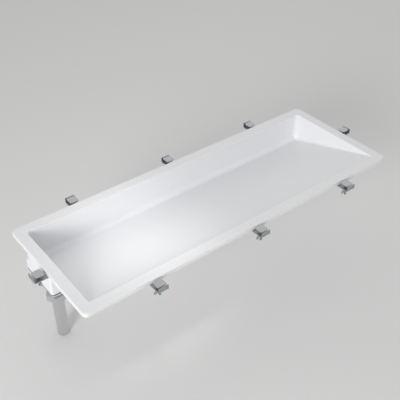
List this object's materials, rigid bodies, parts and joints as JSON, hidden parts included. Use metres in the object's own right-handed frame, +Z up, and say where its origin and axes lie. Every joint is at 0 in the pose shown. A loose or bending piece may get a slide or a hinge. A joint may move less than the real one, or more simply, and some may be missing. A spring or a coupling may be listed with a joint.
{
  "type": "ramp sink",
  "caption": "Undermount trough sink with a plane ramp floor falling to a crease along its back wall, a covered slot drain at one end and clips for a stone worktop.",
  "frame": {"origin": "centre of the bowl's opening, on the top face of the flange, which is bonded to the underside of the worktop", "axes": "+X along the trough, away from the drain end; +Y from the front edge to the upright back wall; +Z up, out of the bowl"},
  "size_m": [1.024, 0.414, 0.3193],
  "materials": {
    "basin_solid_surface": "satin, sanded cast solid surface (acrylic with mineral filler)",
    "brass": "turned and knurled",
    "epdm_rubber": "matt",
    "abs_hopper": "moulded, fine eroded texture",
    "stainless_steel": "plain",
    "chromed_brass": "polished chrome plate",
    "silicone": "translucent grey, matt",
    "zinc_steel": "bright zinc plate",
    "galvanised_strip": "galvanised, pressed from strip"
  },
  "bodies": {
    "root": {"basin": "basin_solid_surface", "sump_inserts": "brass", "sump_gasket": "epdm_rubber", "sump_hopper": "abs_hopper", "sump_screws": "stainless_steel", "tailpiece_seal": "epdm_rubber", "tailpiece": "chromed_brass", "slip_nut": "chromed_brass", "clip_studs": "zinc_steel", "clip_washers": "zinc_steel", "clip_wing_nuts": "zinc_steel", "clip_front_left": "galvanised_strip", "clip_front_middle": "galvanised_strip", "clip_front_right": "galvanised_strip", "clip_back_left": "galvanised_strip", "clip_back_middle": "galvanised_strip", "clip_back_right": "galvanised_strip", "clip_end_left": "galvanised_strip", "clip_end_right": "galvanised_strip"},
    "cover": {"drain_cover": "basin_solid_surface", "cover_feet": "silicone"}
  },
  "joints": [
    {"name": "cover_lift", "type": "slide", "parent": "root", "child": "cover", "axis": [0, 0, 1], "range_m": [0, 0.12]}
  ]
}
